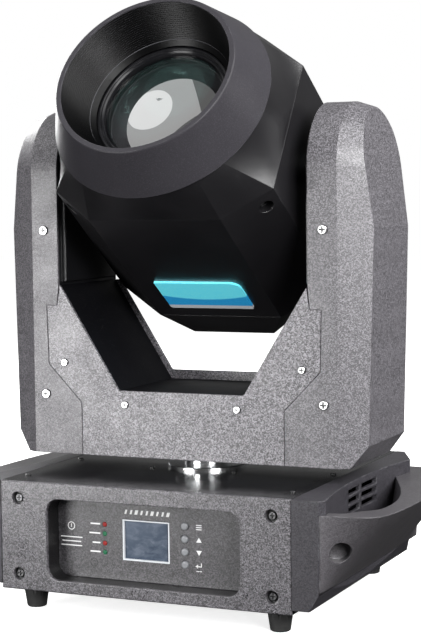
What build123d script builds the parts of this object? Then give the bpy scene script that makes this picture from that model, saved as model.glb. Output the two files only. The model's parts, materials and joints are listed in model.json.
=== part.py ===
from build123d import *
import os
from math import asin, cos, pi, radians, sin, sqrt

os.makedirs("parts", exist_ok=True)

# A moving head stage light: a base, a yoke that pans on it and a head that tilts in the yoke.
# Millimetres, +Z up, the control panel faces -Y, the pan axis is the Z axis and Z = 0 is the floor.

# Base
BASE_HALF_X = 160.0
BASE_HALF_Y = 162.2
BASE_BOTTOM = 23.0
BASE_TOP = 135.0
SHEET = 2.0
BEZEL_THICK = 3.0
FOOT_X, FOOT_FRONT_Y, FOOT_REAR_Y = 136.5, -132.4, 139.3
FOOT_TOP_R, FOOT_BOTTOM_R = 13.5, 10.0
RECESS_HALF_X, RECESS_Z0, RECESS_Z1, RECESS_R = 107.0, 35.5, 119.0, 14.0
RECESS_DEPTH = 25.0
BEZEL_SCREW_X, BEZEL_SCREW_Z = 139.8, (39.3, 117.6)
TOP_SCREWS = ((148.0, -126.0), (148.0, -12.0), (47.5, -38.5), (148.0, 140.0), (60.0, 140.0))
PANEL_Y = -BASE_HALF_Y + RECESS_DEPTH
WINDOW = (-32.3, 19.9, 57.0, 98.5)
BUTTON_X, BUTTON_Z, BUTTON_R = 37.0, (96.2, 83.2, 70.3, 57.4), 4.0
LIGHT_X, LIGHT_R = -53.0, 2.5
RED_Z, GREEN_Z = (91.8, 72.5), (82.2, 63.2)
BOARD_Y = -128.0
STANDOFF_Z = 42.0

# Side shells and carry handles
SHELL_BOTTOM, SHELL_EDGE_Z = 28.0, 44.0
SHELL_BOTTOM_X, SHELL_EDGE_X, SHELL_TOP_X = 178.0, 187.0, 193.0
SHELL_WAIST_X, SHELL_WAIST_Y = 180.0, -24.0
SHELL_LEDGE_X = 190.4
HANDLE_TOP = 121.0
HANDLE_RIM = ((190.5, -162.0), (200.0, -158.5), (212.0, -157.0), (225.0, -156.0), (237.0, -151.0),
              (245.5, -140.0), (250.0, -122.0), (252.8, -95.0), (254.0, -60.0), (254.5, -10.0),
              (254.0, 50.0), (251.0, 95.0), (243.0, 122.0), (228.0, 138.0), (210.0, 146.0), (190.0, 150.0))
POCKET_RIM = ((186.0, -146.0), (194.3, -144.2), (205.2, -141.9), (216.6, -126.8), (228.6, -113.1),
              (233.6, -92.6), (231.6, -55.0), (220.3, -8.9), (206.6, 28.3), (190.8, 66.8), (176.0, 108.0))
POCKET_FLOOR = 60.0
HANDLE_HOLE, HANDLE_HOLE_AXIS = (204.0, -146.0, 84.0), (0.50, -0.86, -0.05)
HANDLE_HOLE_R, HANDLE_HOLE_DEPTH = 11.0, 18.0
SLOT_Y = ((-59.0, -22.0), (-16.0, 28.0))
SLOT_Z = ((104.0, 110.0), (113.0, 119.0), (122.0, 128.0))

# Rear connectors, at the height of their common centre line
REAR_Z = 80.0
INLET_X, SWITCH_X = -115.0, -72.0
DATA_X = (45.0, 100.0)

# Pan drive
HUB_DISC_R, COLUMN_R, COLUMN_TOP_R, COLUMN_BORE_R = 42.4, 24.0, 22.0, 17.0
PAN_PULLEY_R, MOTOR_PULLEY_R = 48.0, 12.0
PAN_PULLEY_Z0, PAN_PULLEY_Z1 = 196.0, 206.0
PAN_MOTOR_X = -88.0
MOTOR_HALF = 28.5
SHAFT_R = 4.0
RUNNING_GAP = 0.05
BELT_THICK = 1.8

# Yoke
YOKE_HALF_Y = 66.5
YOKE_BOTTOM = 150.0
TILT_Z = 451.0
WALL = 3.0
CREASE_X = 173.0
OUTER_X = 206.0
OUTER_FRONT_Y, OUTER_REAR_Y = -48.0, 62.0
INNER_X = 142.0
ARM_OUTLINE = ((116.0, 150.0), (184.0, 150.0), (200.6, 172.0), (206.0, 390.0), (199.3, 445.0),
               (193.6, 490.0), (188.0, 520.0), (142.0, 520.0), (142.0, 330.6), (144.2, 308.9),
               (156.8, 308.9), (155.1, 246.1), (116.0, 205.8))
ARM_CAVITY = ((113.0, 152.9), (182.5, 152.9), (197.5, 173.0), (202.9, 389.7), (196.3, 444.5),
              (190.6, 489.5), (185.0, 520.0), (141.0, 520.0), (141.0, 330.6), (141.0, 200.0),
              (113.0, 200.0))
PLATE_SIDE = ((116.0, 150.0), (116.0, 205.8), (155.1, 246.1), (156.8, 308.9), (144.2, 308.9),
              (141.0, 330.6))
NOTCH_X0, NOTCH_Z0, NOTCH_X1, NOTCH_Z1 = 71.4, 219.9, 141.0, 330.6
REAR_NOTCH_TOP_X, REAR_NOTCH_RISE, NOTCH_CORNER_R = 134.7, 10.0, 4.0
SEAM = 0.6
PLATE_SCREWS = ((64.1, 205.3), (135.5, 248.2))
ARM_SCREWS = ((158.5, 388.7), (158.5, 213.7))
POD_X, POD_R = 137.0, 58.0
UPRIGHT_X0, UPRIGHT_X1 = 146.0, 149.0
BEARING_R = 22.0
TILT_SHAFT_R, TILT_BORE_R = 15.0, 10.0
TILT_PULLEY_R = 50.0
TILT_BELT_X0, TILT_BELT_X1 = 151.5, 161.5
TILT_MOTOR_Z = 311.0

# Head, in its own frame: x along the tilt axis, z forward along the beam, y up from the beam
TILT_RISE = radians(33.64)
HEAD = Plane(origin=(0, 0, TILT_Z), x_dir=(1, 0, 0), z_dir=(0, -cos(TILT_RISE), sin(TILT_RISE)))
SHOULDER_Z, SEAM_Z, TAIL_Z, NECK_Z = 74.0, -118.0, -162.0, 121.8
SHOULDER = (121.5, 75.0, 73.0, 111.0)
WAIST = (126.5, 75.0, 72.0, 111.0)
TAIL = (100.0, 50.0, 48.0, 107.0)
NECK_R, NECK_ANGLES = 115.0, (41.7, 56.7)
HOOD_REAR_R, HOOD_FRONT_R, HOOD_REAR_Z, HOOD_FRONT_Z = 116.6, 94.6, 122.0, 168.5
BORE_FRONT_R, BORE_REAR_R, BORE_REAR_Z = 89.3, 77.0, 124.0
RIBS = 19
BAND_R, BAND_Z = 72.0, 119.0
LENS_R, LENS_Z, LENS_EDGE, LENS_SAG = 65.2, 108.0, 4.0, 15.0
RECESS_SCREW = (109.7, 84.0, 55.6)
BADGE_HALF_X, BADGE_HALF_Z, BADGE_Z, BADGE_THICK = 49.0, 26.0, -71.2, 2.5
CHASSIS_X0, CHASSIS_X1 = 104.0, 107.0


def box(x0, x1, y0, y1, z0, z1):
    """A block between two corners."""
    return Pos((x0 + x1) / 2, (y0 + y1) / 2, (z0 + z1) / 2) * Box(x1 - x0, y1 - y0, z1 - z0)


def cyl(axis, a, b, r, at=(0.0, 0.0), r2=None):
    """A cylinder or cone from a to b along an axis, centred on the two other coordinates."""
    body = Cylinder(r, b - a) if r2 is None else Cone(r, r2, b - a)
    middle = (a + b) / 2
    if axis == "X":
        return Pos(middle, at[0], at[1]) * Rot(0, 90, 0) * body
    if axis == "Y":
        return Pos(at[0], middle, at[1]) * Rot(-90, 0, 0) * body
    return Pos(at[0], at[1], middle) * body


def ring(axis, a, b, r_in, r_out, at=(0.0, 0.0)):
    return cyl(axis, a, b, r_out, at) - cyl(axis, a - 1, b + 1, r_in, at)


def slab_y(points, y0, y1):
    """An outline in X and Z, as thick as y0 to y1."""
    face = make_face(Polyline(*[(x, y0, z) for x, z in points], close=True))
    return extrude(face, amount=y1 - y0, dir=(0, 1, 0))


def mirror_x(shape):
    return mirror(shape, about=Plane.YZ)


def both_sides(shape):
    return shape + mirror_x(shape)


def rounded_slab(half_x, z0, z1, r, y0, y1):
    """A rounded rectangle facing Y."""
    face = Plane.XZ * RectangleRounded(2 * half_x, z1 - z0, r)
    return Pos(0, y0, (z0 + z1) / 2) * extrude(face, amount=y1 - y0, dir=(0, 1, 0))


def screw(at, direction, head_r, length, head_t=2.2, shank_r=1.9):
    """A pan head screw: the head stands out from `at`, the shank goes in against `direction`."""
    head = Pos(0, 0, head_t / 2) * Cylinder(head_r, head_t)
    head = chamfer(head.edges().sort_by(Axis.Z)[-1], head_t * 0.35)
    cross = Box(head_r * 1.3, head_r * 0.34, 2.4) + Box(head_r * 0.34, head_r * 1.3, 2.4)
    body = head - Pos(0, 0, head_t) * cross + Pos(0, 0, -length / 2) * Cylinder(shank_r, length)
    return Plane(origin=at, z_dir=direction).location * body


def stadium(axis, a, b, c1, r1, c2, r2):
    """The outline around two circles joined by their tangents, extruded from a to b."""
    dx, dz = c2[0] - c1[0], c2[1] - c1[1]
    d = sqrt(dx * dx + dz * dz)
    ux, uz = dx / d, dz / d
    lean = asin((r1 - r2) / d)
    corners = []
    for side in (1, -1):
        nx = ux * sin(lean) - side * uz * cos(lean)
        nz = uz * sin(lean) + side * ux * cos(lean)
        pair = [(c1[0] + r1 * nx, c1[1] + r1 * nz), (c2[0] + r2 * nx, c2[1] + r2 * nz)]
        corners += pair if side == 1 else pair[::-1]
    if axis == "X":
        rim, way = [(a, p, q) for p, q in corners], (1, 0, 0)
    else:
        rim, way = [(p, q, a) for p, q in corners], (0, 0, 1)
    web = extrude(make_face(Polyline(*rim, close=True)), amount=b - a, dir=way)
    return web + cyl(axis, a, b, r1, c1) + cyl(axis, a, b, r2, c2)


def belt(axis, a, b, c1, r1, c2, r2):
    """A flat belt around two pulleys, a running gap clear of both."""
    inner, outer = RUNNING_GAP, RUNNING_GAP + BELT_THICK
    loop = stadium(axis, a, b, c1, r1 + outer, c2, r2 + outer)
    return loop - stadium(axis, a - 1, b + 1, c1, r1 + inner, c2, r2 + inner)


# ---------------------------------------------------------------- base

def base_tray():
    tray = box(-159.8, 159.8, -159.0, 162.2, BASE_BOTTOM, BASE_BOTTOM + SHEET)
    tray += both_sides(box(157.8, 159.8, -159.0, 160.0, BASE_BOTTOM, BASE_TOP - 2.2))
    # four quarter-turn holes for the hanging clamps and a ring of cooling slots
    for x in (-71.5, 71.5):
        for y in (-53.0, 53.0):
            tray -= cyl("Z", 20, 30, 5.0, (x, y))
    for i in range(9):
        x = -40.0 + 10.0 * i
        tray -= box(x - 2, x + 2, 85, 125, 20, 30)
    # slots on each side that line up with the vents of the side shells
    for y0, y1 in SLOT_Y:
        for z0, z1 in SLOT_Z:
            tray -= both_sides(box(150, 165, y0, y1, z0, z1))
    return tray + rear_wall()


def rear_wall():
    """The connector wall at the back, folded up from the tray."""
    wall = box(-157.8, 157.8, 160.2, BASE_HALF_Y, BASE_BOTTOM + SHEET, BASE_TOP - 2.2)
    wall -= box(INLET_X - 14, INLET_X + 14, 150, 170, REAR_Z - 10.5, REAR_Z + 10.5)
    wall -= box(SWITCH_X - 10, SWITCH_X + 10, 150, 170, REAR_Z - 14, REAR_Z + 14)
    for x in DATA_X:
        wall -= cyl("Y", 150, 170, 11.5, (x, REAR_Z))
    for i in range(8):
        wall -= box(-30 + 8 * i, -26 + 8 * i, 150, 170, 105, 125)
    return wall


def base_top_plate():
    plate = box(-159.8, 159.8, -159.0, BASE_HALF_Y, BASE_TOP - SHEET, BASE_TOP)
    plate -= cyl("Z", 130, 140, 30.0)
    for x, y in TOP_SCREWS:
        plate -= cyl("Z", 130, 140, 1.6, (x, y)) + cyl("Z", 130, 140, 1.6, (-x, y))
    return plate


def front_bezel():
    front = -BASE_HALF_Y
    back = front + BEZEL_THICK
    bezel = box(-BASE_HALF_X, BASE_HALF_X, front, back, BASE_BOTTOM, BASE_TOP)
    rim = bezel.faces().sort_by(Axis.Y)[0].edges()
    bezel = chamfer(rim, 0.9)
    bezel += rounded_slab(RECESS_HALF_X + 2, RECESS_Z0 - 2, RECESS_Z1 + 2, RECESS_R + 2, back, PANEL_Y + 2)
    for x in (-BEZEL_SCREW_X, BEZEL_SCREW_X):
        for z in BEZEL_SCREW_Z:
            bezel += cyl("Y", back, back + 7, 8.5, (x, z))
    for x in (-BEZEL_SCREW_X, BEZEL_SCREW_X):
        for z in BEZEL_SCREW_Z:
            bezel -= cyl("Y", front - 1, front + 5, 6.6, (x, z)) + cyl("Y", front, 0, 1.9, (x, z))
    return bezel - rounded_slab(RECESS_HALF_X, RECESS_Z0, RECESS_Z1, RECESS_R, front - 1, PANEL_Y + 3)


def control_panel():
    x0, x1, z0, z1 = WINDOW
    panel = rounded_slab(RECESS_HALF_X - 0.2, RECESS_Z0 + 0.2, RECESS_Z1 - 0.2, RECESS_R - 0.2,
                         PANEL_Y, PANEL_Y + SHEET)
    panel -= box(x0, x1, PANEL_Y - 1, PANEL_Y + 3, z0, z1)
    for z in BUTTON_Z:
        panel -= cyl("Y", PANEL_Y - 1, PANEL_Y + 3, BUTTON_R + 0.1, (BUTTON_X, z))
    for z in RED_Z + GREEN_Z:
        panel -= cyl("Y", PANEL_Y - 1, PANEL_Y + 3, LIGHT_R, (LIGHT_X, z))
    return panel


def display_module():
    """The display behind its clear window, with its own pale frame standing in the panel's opening."""
    x0, x1, z0, z1 = WINDOW
    module = box(x0, x1, PANEL_Y - 0.5, PANEL_Y + 4, z0, z1)
    module -= box(x0 + 1.2, x1 - 1.2, PANEL_Y - 1, PANEL_Y + 2.2, z0 + 1.2, z1 - 1.2)
    return module + box(x0 - 3, x1 + 3, PANEL_Y + 4, PANEL_Y + 7, z0 - 3, z1 + 3)


def status_lights(heights):
    lights = Part()
    for z in heights:
        lamp = cyl("Y", PANEL_Y - 0.6, BOARD_Y, LIGHT_R, (LIGHT_X, z))
        lamp = fillet(lamp.edges().sort_by(Axis.Y)[0], 1.0)
        lights += lamp + cyl("Y", PANEL_Y + 2, PANEL_Y + 3, LIGHT_R + 0.5, (LIGHT_X, z))
    return lights


def menu_button(z):
    cap = cyl("Y", PANEL_Y - 2.4, PANEL_Y + 3, BUTTON_R, (BUTTON_X, z))
    cap = fillet(cap.edges().sort_by(Axis.Y)[0], 1.8)
    flange = cyl("Y", PANEL_Y + 2.1, PANEL_Y + 3.2, BUTTON_R + 1.2, (BUTTON_X, z))
    return cap + flange + cyl("Y", PANEL_Y + 3, PANEL_Y + 4.6, 1.6, (BUTTON_X, z))


def control_board():
    board = box(-75, 60, BOARD_Y, BOARD_Y + 1.6, 42, 112)
    for z in BUTTON_Z:
        board += box(BUTTON_X - 3, BUTTON_X + 3, BOARD_Y - 3.2, BOARD_Y, z - 3, z + 3)
    board += box(-20, 10, BOARD_Y + 1.6, BOARD_Y + 4, 60, 90)
    return board + box(-70, -60, BOARD_Y + 1.6, BOARD_Y + 10, 50, 100)


def side_shell_outline(z0, z1):
    """The bowed outer skin of a side shell, seen from above, extruded between two heights."""
    front, rear = -BASE_HALF_Y, BASE_HALF_Y + 0.8
    edges = Polyline((192.0, 111.0, z0), (169.0, rear, z0), (160.1, rear, z0), (160.1, front, z0),
                     (188.0, front, z0), (SHELL_TOP_X, front + 7, z0)).edges()
    bow = ThreePointArc((SHELL_TOP_X, front + 7, z0), (SHELL_WAIST_X, SHELL_WAIST_Y, z0), (192.0, 111.0, z0))
    return extrude(make_face(list(edges) + [bow]), amount=z1 - z0, dir=(0, 0, 1))


def side_shell_block():
    """The side shell before it is hollowed; a ledge runs along the top of the handle's seat."""
    skirt = ((150.0, SHELL_BOTTOM), (SHELL_BOTTOM_X, SHELL_BOTTOM), (SHELL_EDGE_X, SHELL_EDGE_Z),
             (SHELL_LEDGE_X, HANDLE_TOP), (198.0, HANDLE_TOP), (198.0, BASE_TOP), (150.0, BASE_TOP))
    return side_shell_outline(SHELL_BOTTOM, BASE_TOP) & slab_y(skirt, -170, 170)


def side_shell():
    shell = side_shell_block()
    shell -= box(150, 176, -156, 150, 40, 131)
    for y0, y1 in SLOT_Y:
        for z0, z1 in SLOT_Z:
            shell -= box(170, 190, y0, y1, z0, z1)
    return shell


def ruled_tub(rim, x_rim, z_rim, foot, x_foot, z_foot):
    """A ruled solid between a bowed outline at the top and a straight-sided one at the bottom."""
    y0, y1 = rim[0][1], rim[-1][1]
    top = [Spline(*[(x, y, z_rim) for x, y in rim])]
    top += Polyline((rim[-1][0], y1, z_rim), (x_rim, y1, z_rim), (x_rim, y0, z_rim),
                    (rim[0][0], y0, z_rim)).edges()
    f0, f1 = foot
    low = Polyline((x_foot, f0, z_foot), (x_foot, f1, z_foot), (x_foot - 7, f1, z_foot),
                   (x_foot - 7, f0, z_foot), (x_foot, f0, z_foot)).edges()
    return loft([make_face(top), make_face(list(low))], ruled=True)


def carry_handle():
    body = ruled_tub(HANDLE_RIM, 178.0, HANDLE_TOP, (-160.5, 150.0), SHELL_EDGE_X, SHELL_EDGE_Z)
    pocket = ruled_tub(POCKET_RIM, 170.0, HANDLE_TOP + 1, (-115.0, 60.0), 190.0, POCKET_FLOOR)
    body -= pocket + side_shell_block()
    bore = Pos(0, 0, 40 - HANDLE_HOLE_DEPTH) * Cylinder(HANDLE_HOLE_R, 80)
    body -= Plane(origin=HANDLE_HOLE, z_dir=HANDLE_HOLE_AXIS).location * bore
    return body.solids().sort_by(SortBy.VOLUME)[-1]


def power_inlet():
    y = BASE_HALF_Y
    inlet = box(INLET_X - 14, INLET_X + 14, y - 24, y, REAR_Z - 10.5, REAR_Z + 10.5)
    inlet += box(INLET_X - 18, INLET_X + 18, y, y + 2.5, REAR_Z - 14, REAR_Z + 14)
    inlet += box(INLET_X - 8, INLET_X + 8, y, y + 3.2, REAR_Z - 26, REAR_Z - 14)
    inlet -= box(INLET_X - 11.8, INLET_X + 11.8, y - 18, y + 3, REAR_Z - 8, REAR_Z + 8)
    for dx, dz in ((-7.0, -2.0), (0.0, 2.5), (7.0, -2.0)):
        inlet += box(INLET_X + dx - 1, INLET_X + dx + 1, y - 19, y - 6, REAR_Z + dz - 2, REAR_Z + dz + 2)
    return inlet


def power_switch():
    y = BASE_HALF_Y
    body = box(SWITCH_X - 10, SWITCH_X + 10, y - 22, y, REAR_Z - 14, REAR_Z + 14)
    body += box(SWITCH_X - 12, SWITCH_X + 12, y, y + 2, REAR_Z - 16, REAR_Z + 16)
    return body - box(SWITCH_X - 8, SWITCH_X + 8, y - 12, y + 3, REAR_Z - 13, REAR_Z + 13)


def power_rocker():
    # the rocker lies in its off position, ten degrees from level, on its cross pin
    pivot = BASE_HALF_Y - 5.0
    rocker = box(SWITCH_X - 7.6, SWITCH_X + 7.6, pivot - 2, pivot + 6.5, REAR_Z - 10.5, REAR_Z + 10.5)
    rocker += cyl("X", SWITCH_X - 7.6, SWITCH_X + 7.6, 4.0, (pivot, REAR_Z))
    crown = cyl("X", SWITCH_X - 9, SWITCH_X + 9, 24.0, (pivot + 29.5, REAR_Z))
    rocker -= crown
    tilt = Pos(0, pivot, REAR_Z) * Rot(10, 0, 0) * Pos(0, -pivot, -REAR_Z)
    return tilt * rocker


def data_sockets():
    y = BASE_HALF_Y
    sockets = Part()
    for x in DATA_X:
        socket = box(x - 13, x + 13, y, y + 2.5, REAR_Z - 15.5, REAR_Z + 15.5)
        socket += cyl("Y", y - 22, y, 11.5, (x, REAR_Z))
        sockets += socket
    male, female = DATA_X
    sockets -= cyl("Y", y - 16, y + 3, 9.3, (male, REAR_Z))
    for turn in (-40, 40, 180):
        dx, dz = 4.2 * sin(radians(turn)), 4.2 * cos(radians(turn))
        sockets += cyl("Y", y - 17, y - 6, 1.2, (male + dx, REAR_Z + dz))
        sockets -= cyl("Y", y - 12, y + 3, 1.4, (female + dx, REAR_Z + dz))
    return sockets


def rubber_feet():
    feet = Part()
    for x in (-FOOT_X, FOOT_X):
        for y in (FOOT_FRONT_Y, FOOT_REAR_Y):
            foot = cyl("Z", 0, BASE_BOTTOM, FOOT_BOTTOM_R, (x, y), FOOT_TOP_R)
            foot = chamfer(foot.edges().sort_by(Axis.Z)[0], 1.0)
            for i in range(10):
                a = 2 * pi * i / 10
                foot -= Pos(x + 13.4 * cos(a), y + 13.4 * sin(a), 11) * Cylinder(1.6, 16)
            feet += foot
    return feet


def power_supply():
    case = box(-140, -30, -95, 75, STANDOFF_Z, STANDOFF_Z + 45)
    for i in range(10):
        y = -85 + 16 * i
        case -= box(-130, -60, y, y + 6, STANDOFF_Z + 43, STANDOFF_Z + 46)
    for x in (-130, -40):
        for y in (-85, 65):
            case += cyl("Z", BASE_BOTTOM + SHEET, STANDOFF_Z, 4.0, (x, y))
    return case + box(-120, -50, 75, 87, STANDOFF_Z + 3, STANDOFF_Z + 21)


def driver_board():
    top = STANDOFF_Z + 1.6
    board = box(35, 145, -95, 95, STANDOFF_Z, top)
    for x in (42, 138):
        for y in (-88, 88):
            board += cyl("Z", BASE_BOTTOM + SHEET, STANDOFF_Z, 3.0, (x, y))
    for y in (-60, -20, 20, 60):
        board += box(60, 78, y - 9, y + 9, top, top + 8)
        board += cyl("Z", top, top + 18, 7.0, (118, y))
    return board


def pan_hub():
    hub = cyl("Z", BASE_TOP, BASE_TOP + 3.5, HUB_DISC_R)
    hub = chamfer(hub.edges().sort_by(Axis.Z)[-1], 0.8)
    hub += cyl("Z", BASE_TOP, 195, COLUMN_R) + cyl("Z", 195, 209, COLUMN_TOP_R)
    hub += cyl("Z", 118, BASE_TOP, 30.0) + cyl("Z", 127, BASE_TOP - SHEET, 38.0)
    hub += pan_pulley()
    return hub - cyl("Z", 110, 215, COLUMN_BORE_R)


def pan_pulley():
    pulley = cyl("Z", PAN_PULLEY_Z0, PAN_PULLEY_Z1, PAN_PULLEY_R)
    return pulley + cyl("Z", 195, 196, PAN_PULLEY_R + 3) + cyl("Z", 206, 207, PAN_PULLEY_R + 3)


def base_screws():
    screws = Part()
    for sx in (-1, 1):
        for z in BEZEL_SCREW_Z:
            screws += screw((sx * BEZEL_SCREW_X, -BASE_HALF_Y + 5, z), (0, -1, 0), 4.2, 10)
        for x, y in TOP_SCREWS:
            screws += screw((sx * x, y, BASE_TOP), (0, 0, 1), 3.0, 8, 1.4, 1.6)
    return screws


# ---------------------------------------------------------------- yoke

def arch_face(x, y0, y1, z0, zc):
    """An outline in Y and Z with a straight foot and a half-round top."""
    yc, r = (y0 + y1) / 2, (y1 - y0) / 2
    lines = Polyline((x, y0, zc), (x, y0, z0), (x, y1, z0), (x, y1, zc)).edges()
    top = ThreePointArc((x, y1, zc), (x, yc, zc + r), (x, y0, zc))
    return make_face(list(lines) + [top])


def arch(x0, x1, half, z0):
    return extrude(arch_face(x0, -half, half, z0, TILT_Z), amount=x1 - x0, dir=(1, 0, 0))


def arm_form(inset, x0, z0):
    """The arm's outer shape, or the same shape inset from it: a flat front, then a slanted facet."""
    near = arch_face(CREASE_X, -YOKE_HALF_Y + inset, YOKE_HALF_Y - inset, z0, TILT_Z)
    far = arch_face(OUTER_X + 2, OUTER_FRONT_Y + inset, OUTER_REAR_Y - inset, z0, TILT_Z)
    return arch(x0, CREASE_X, YOKE_HALF_Y - inset, z0) + loft([near, far], ruled=True)


def arm_cover():
    outer = arm_form(0, 110, YOKE_BOTTOM) & slab_y(ARM_OUTLINE, -80, 80)
    inner = arm_form(WALL, 110, YOKE_BOTTOM + 2.9) & slab_y(ARM_CAVITY, -80, 80)
    cover = outer - inner - box(100, INNER_X + 0.01, -63.5, 63.5, 300, 530)
    for x, z in ARM_SCREWS:
        cover -= cyl("Y", -80, 80, 1.9, (x, z))
    return cover


def inner_cover():
    flange = arch(142.2, 144.2, 63.3, 318)
    pod = arch(POD_X, 142.2, POD_R, 334)
    pod = chamfer(pod.faces().sort_by(Axis.X)[0].edges(), 1.0)
    return flange + pod - cyl("X", 130, 150, 17.0, (0, TILT_Z))


def lower_plate(side):
    """The front or rear plate; the rear one stands higher around the notch, as a lip."""
    y0, y1 = sorted((side * YOKE_HALF_Y, side * (YOKE_HALF_Y - WALL)))
    half = [(x - SEAM, z) for x, z in PLATE_SIDE]
    rise = REAR_NOTCH_RISE if side > 0 else 0.0
    half += [(REAR_NOTCH_TOP_X, NOTCH_Z1)] if side > 0 else []
    half += [(NOTCH_X0, NOTCH_Z0 + rise)]
    points = half + [(-x, z) for x, z in reversed(half)]
    plate = slab_y(points, y0, y1)
    inner = [e for e in plate.edges().filter_by(Axis.Y)
             if abs(abs(e.center().X) - NOTCH_X0) < 1 and abs(e.center().Z - NOTCH_Z0 - rise) < 1]
    plate = fillet(inner, NOTCH_CORNER_R)
    for x, z in PLATE_SCREWS:
        plate -= both_sides(cyl("Y", -80, 80, 1.9, (x, z)))
    return plate


def saddle():
    """The bent sheet that lines the notch between the lower plates."""
    slope = (NOTCH_Z1 - NOTCH_Z0) / (NOTCH_X1 - NOTCH_X0)
    drop = WALL * sqrt(1 + slope * slope) - WALL
    out = drop / slope
    top = [(-NOTCH_X1, NOTCH_Z1), (-NOTCH_X0, NOTCH_Z0), (NOTCH_X0, NOTCH_Z0), (NOTCH_X1, NOTCH_Z1)]
    low = [(NOTCH_X1, NOTCH_Z1 - drop - WALL), (NOTCH_X0 + out, NOTCH_Z0 - WALL),
           (-NOTCH_X0 - out, NOTCH_Z0 - WALL), (-NOTCH_X1, NOTCH_Z1 - drop - WALL)]
    return slab_y(top + low, -63.3, 63.3)


def tab(x0, x1, z, side):
    """A folded ear of the frame that a cover screw bites into."""
    a, b = sorted((side * 63.3, side * 60.3))
    c, d = sorted((side * 63.3, side * 44.0))
    return box(x0, x1, a, b, z - 10, z + 10) + box(UPRIGHT_X0, UPRIGHT_X1, c, d, z - 10, z + 10)


def yoke_frame():
    frame = box(-115.7, 115.7, -63.3, 63.3, YOKE_BOTTOM, YOKE_BOTTOM + WALL)
    frame += box(-UPRIGHT_X1, UPRIGHT_X1, -55, 55, YOKE_BOTTOM + WALL, YOKE_BOTTOM + 7)
    for side in (-1, 1):
        y0, y1 = sorted((side * 63.3, side * 60.3))
        frame += box(-112, 112, y0, y1, YOKE_BOTTOM, 212)
    upright = extrude(arch_face(UPRIGHT_X0, -45, 45, YOKE_BOTTOM + 7, TILT_Z), amount=3, dir=(1, 0, 0))
    upright -= cyl("X", 140, 155, BEARING_R, (0, TILT_Z))
    upright -= box(140, 155, -22, 22, 200, 250)
    for side in (-1, 1):
        upright += tab(126, UPRIGHT_X1, PLATE_SCREWS[1][1], side)
        upright += tab(UPRIGHT_X0, 167, ARM_SCREWS[0][1], side)
        upright += tab(UPRIGHT_X0, 167, ARM_SCREWS[1][1], side)
    frame += both_sides(upright)
    frame -= cyl("Z", 140, 170, 34.0)
    for x, z in PLATE_SCREWS + ARM_SCREWS:
        frame -= both_sides(cyl("Y", -80, 80, 1.9, (x, z)))
    return frame


def pan_bearing():
    return ring("Z", 147, 161, COLUMN_R + RUNNING_GAP, 34.0) + ring("Z", 157, 160, 33.0, 42.0)


def motor_body(half, a, b, axis, at):
    """A square stepper motor with cut corners and a bore for its shaft."""
    if axis == "Z":
        body = box(at[0] - half, at[0] + half, at[1] - half, at[1] + half, a, b)
    else:
        body = box(a, b, at[0] - half, at[0] + half, at[1] - half, at[1] + half)
    edges = body.edges().filter_by(Axis.Z if axis == "Z" else Axis.X)
    return chamfer(edges, 5.0)


def pan_motor():
    motor = motor_body(MOTOR_HALF, 157, 190, "Z", (PAN_MOTOR_X, 0))
    motor += box(PAN_MOTOR_X - 33, PAN_MOTOR_X + 33, -33, 33, 190, 193)
    return motor - cyl("Z", 170, 200, SHAFT_R + RUNNING_GAP, (PAN_MOTOR_X, 0))


def pan_motor_pulley():
    at = (PAN_MOTOR_X, 0)
    pulley = cyl("Z", PAN_PULLEY_Z0, PAN_PULLEY_Z1, MOTOR_PULLEY_R, at) + cyl("Z", 171, 207, SHAFT_R, at)
    return pulley + cyl("Z", 195, 195.9, 15.0, at) - box(-100, -76, 3.4, 6, 206.1, 210)


def pan_belt():
    return belt("Z", PAN_PULLEY_Z0 + 0.5, PAN_PULLEY_Z1 - 0.5, (0, 0), PAN_PULLEY_R,
                (PAN_MOTOR_X, 0), MOTOR_PULLEY_R)


def tilt_bearings():
    bearing = ring("X", 144.4, 146, TILT_SHAFT_R + RUNNING_GAP, 28.0, (0, TILT_Z))
    bearing += ring("X", 146, 149, TILT_SHAFT_R + RUNNING_GAP, BEARING_R, (0, TILT_Z))
    return both_sides(bearing)


def tilt_motor():
    at = (0, TILT_MOTOR_Z)
    motor = box(162.5, 165.5, -35, 35, TILT_MOTOR_Z - 35, TILT_MOTOR_Z + 35)
    motor += motor_body(MOTOR_HALF, 165.5, 198, "X", at)
    for y in (-30, 30):
        for z in (-30, 30):
            motor += cyl("X", UPRIGHT_X1, 163, 3.5, (y, TILT_MOTOR_Z + z))
    return motor - cyl("X", 160, 180, SHAFT_R + RUNNING_GAP, at)


def tilt_motor_pulley():
    at = (0, TILT_MOTOR_Z)
    pulley = cyl("X", TILT_BELT_X0, TILT_BELT_X1, MOTOR_PULLEY_R, at)
    return pulley + cyl("X", TILT_BELT_X0 - 1, 179, SHAFT_R, at)


def tilt_belt():
    return belt("X", TILT_BELT_X0 + 0.5, TILT_BELT_X1 - 0.5, (0, TILT_Z), TILT_PULLEY_R,
                (0, TILT_MOTOR_Z), MOTOR_PULLEY_R)


def face_screws(places, head_r, length):
    screws = Part()
    for x, z in places:
        for side in (-1, 1):
            for sx in (-1, 1):
                screws += screw((sx * x, side * YOKE_HALF_Y, z), (0, side, 0), head_r, length)
    return screws


# ---------------------------------------------------------------- head, in the head's frame

def octagon(corners, z, inset=0.0):
    a, b, c, d = (v - inset for v in corners)
    b, c = corners[1] - 0.4 * inset, corners[2] - 0.4 * inset
    quarter = [(a, b), (c, d)]
    points = quarter + [(-x, y) for x, y in reversed(quarter)]
    points += [(-x, -y) for x, y in quarter] + [(x, -y) for x, y in reversed(quarter)]
    return make_face(Polyline(*[(x, y, z) for x, y in points], close=True))


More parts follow.
